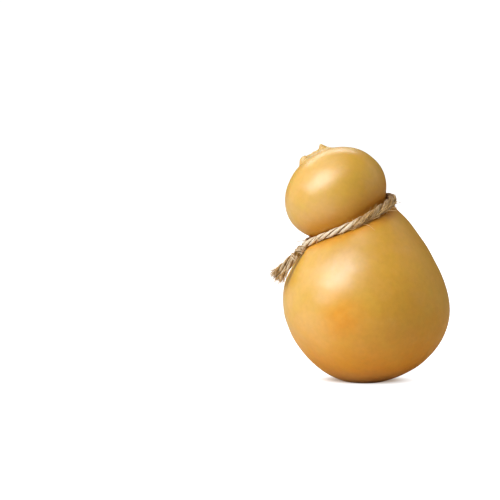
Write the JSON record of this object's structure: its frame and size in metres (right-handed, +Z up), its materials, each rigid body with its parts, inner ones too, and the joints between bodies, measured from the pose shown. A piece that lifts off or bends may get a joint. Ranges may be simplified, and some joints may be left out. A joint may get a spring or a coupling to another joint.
{
  "type": "smoked scamorza",
  "caption": "Pear-shaped smoked cheese with a small leaning head, pinched closed on top and tied round the neck with knotted twine.",
  "frame": {"origin": "middle of the flat spot that the cheese rests on, at the surface it stands on", "axes": "+Z up; front faces -Y; +X to the right as seen from the front; the head leans towards -X"},
  "size_m": [0.0771, 0.0718, 0.1023],
  "materials": {
    "smoked_skin": "smooth, slightly waxy golden smoked cheese skin, browner low down and in the creases",
    "natural_twine": "three-strand natural bast-fibre twine, pale straw to brown, slightly hairy"
  },
  "bodies": {
    "root": {"cheese": "smoked_skin", "twine": "natural_twine"}
  },
  "joints": []
}
